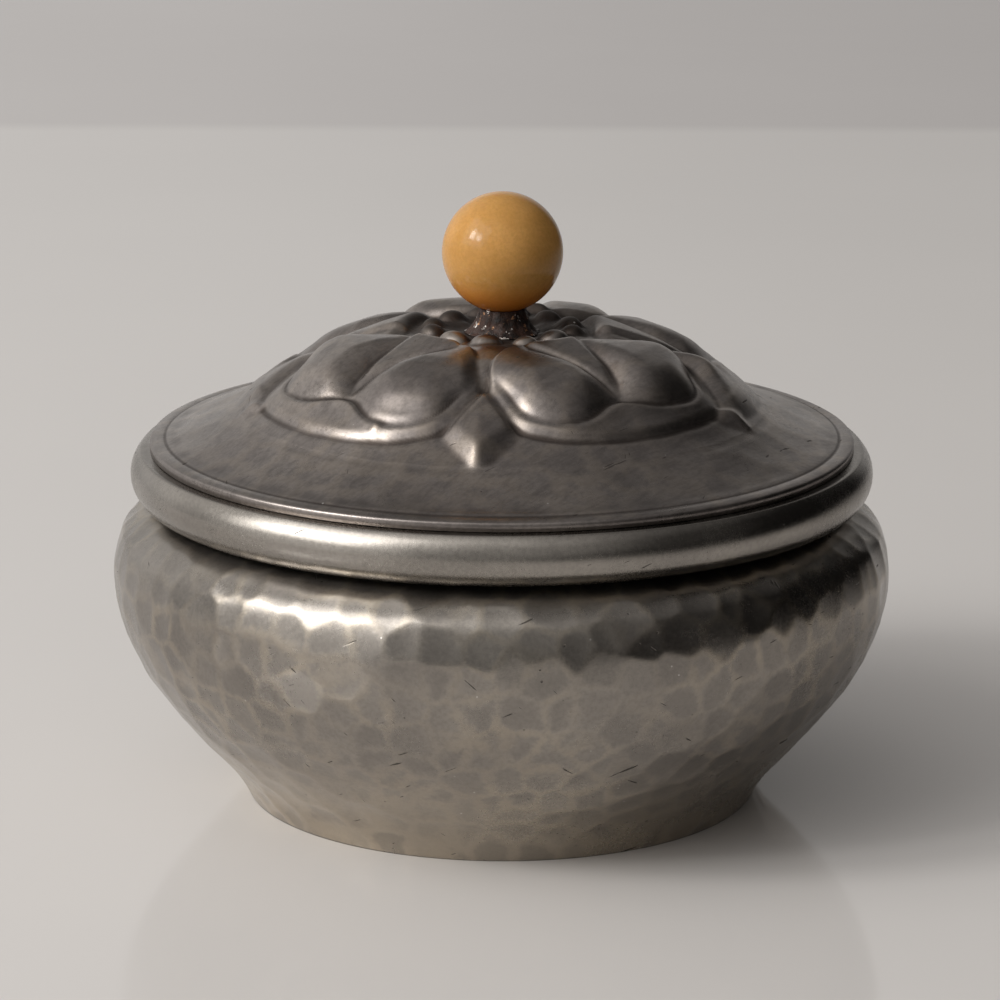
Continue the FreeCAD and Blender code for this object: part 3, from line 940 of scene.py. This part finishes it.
def soft_box(name, azimuth, elevation, distance, width, height, power, colour):
    """Rectangular lamp facing a point just over the bowl's middle."""
    data = bpy.data.lights.new(name, "AREA")
    data.shape = "RECTANGLE"
    data.size, data.size_y = width, height
    data.energy = power
    data.color = colour
    lamp = bpy.data.objects.new(name, data)
    lamp.location = direction(azimuth, elevation) * distance + Vector((0, 0, 0.05))
    lamp.rotation_mode = "QUATERNION"
    lamp.rotation_quaternion = direction(azimuth, elevation).to_track_quat("Z", "Y")
    bpy.context.scene.collection.objects.link(lamp)


def room():
    """Dim studio: pale to the left and behind, dark on the right and overhead."""
    # Each row's last number, its strength, began as another script's least-squares fit to the photo, and so
    # did the soft boxes' powers. The results were rounded, and some were then changed.
    world = bpy.data.worlds.new("room")
    world.use_nodes = True
    bpy.context.scene.world = world
    nodes, links = world.node_tree.nodes, world.node_tree.links
    place = nodes.new("ShaderNodeTexCoord").outputs["Generated"]

    def lobe(azimuth, elevation, inner, outer, colour, strength):
        """Patch of light, full up to the inner angle from its direction and gone at the outer one."""
        dot = nodes.new("ShaderNodeVectorMath")
        dot.operation = "DOT_PRODUCT"
        links.new(place, dot.inputs[0])
        dot.inputs[1].default_value = direction(azimuth, elevation)
        fade = nodes.new("ShaderNodeMapRange")
        fade.interpolation_type = "SMOOTHSTEP"
        links.new(dot.outputs["Value"], fade.inputs["Value"])
        fade.inputs["From Min"].default_value = math.cos(math.radians(outer))
        fade.inputs["From Max"].default_value = math.cos(math.radians(inner))
        tint = nodes.new("ShaderNodeVectorMath")
        tint.operation = "SCALE"
        tint.inputs[0].default_value = tuple(c * strength for c in colour)
        links.new(fade.outputs["Result"], tint.inputs["Scale"])
        return tint.outputs["Vector"]

    total = None
    for patch in (
        (0, 90, 0, 180, (1.0, 0.95, 0.92), 0.015),
        (-95, 8, 15, 78, (1.0, 0.97, 0.94), 0.50),
        (-18, 30, 10, 62, (1.0, 0.97, 0.94), 0.35),
        (-60, 88, 10, 56, (1.0, 0.97, 0.95), 0.19),
        (-60, 10, 5, 40, (1.0, 0.97, 0.94), 0.40),
        (-60, 60, 5, 35, (1.0, 0.98, 0.97), 0.20),
        (-30, 50, 5, 30, (1.0, 0.98, 0.96), 0.30),
        (10, 70, 5, 35, (1.0, 0.96, 0.94), 0.08),
        (45, 30, 5, 45, (1.0, 0.95, 0.91), 0.05),
        (175, 6, 5, 32, (1.0, 0.97, 0.94), 0.44),
        (-147, 0, 8, 45, (1.0, 0.97, 0.94), 0.24),
        (-130, 30, 5, 35, (1.0, 0.97, 0.94), 0.22),
        (-175, 50, 5, 45, (1.0, 0.97, 0.94), 0.14),
        (-166, 12, 4, 17, (1.0, 0.97, 0.94), 0.10),
    ):
        light = lobe(*patch)
        if total:
            add = nodes.new("ShaderNodeVectorMath")
            add.operation = "ADD"
            links.new(total, add.inputs[0])
            links.new(light, add.inputs[1])
            light = add.outputs["Vector"]
        total = light
    links.new(total, nodes["Background"].inputs["Color"])


def camera():
    """Long lens from in front and a little above."""
    data = bpy.data.cameras.new("camera")
    data.sensor_width = 36.0
    data.lens = LENS
    data.clip_start, data.clip_end = 0.05, 50.0
    cam = bpy.data.objects.new("camera", data)
    bpy.context.scene.collection.objects.link(cam)
    pitch, yaw, roll = CAMERA_TURNS
    forward = Vector((-math.sin(yaw) * math.cos(pitch), math.cos(yaw) * math.cos(pitch), -math.sin(pitch)))
    right = Vector((math.cos(yaw), math.sin(yaw), 0))
    up = right.cross(forward)
    across = math.cos(roll) * right + math.sin(roll) * up
    upright = math.cos(roll) * up - math.sin(roll) * right
    cam.matrix_world = Matrix((
        (across.x, upright.x, -forward.x, 0.0),
        (across.y, upright.y, -forward.y, -CAMERA_DISTANCE),
        (across.z, upright.z, -forward.z, CAMERA_HEIGHT),
        (0, 0, 0, 1)))
    bpy.context.scene.camera = cam


table_top()
room()
soft_box("window", -65, 36, 1.5, 1.30, 1.16, 10.2, (1.0, 0.985, 0.965))
soft_box("window_core", -70, 33, 1.43, 0.27, 0.33, 6.1, (1.0, 0.985, 0.96))
soft_box("window_side", -54, 33, 1.43, 0.16, 0.27, 2.6, (1.0, 0.985, 0.96))
camera()

view = bpy.context.scene.view_settings
view.view_transform = "Standard"
view.look = "None"
view.exposure = 0.0
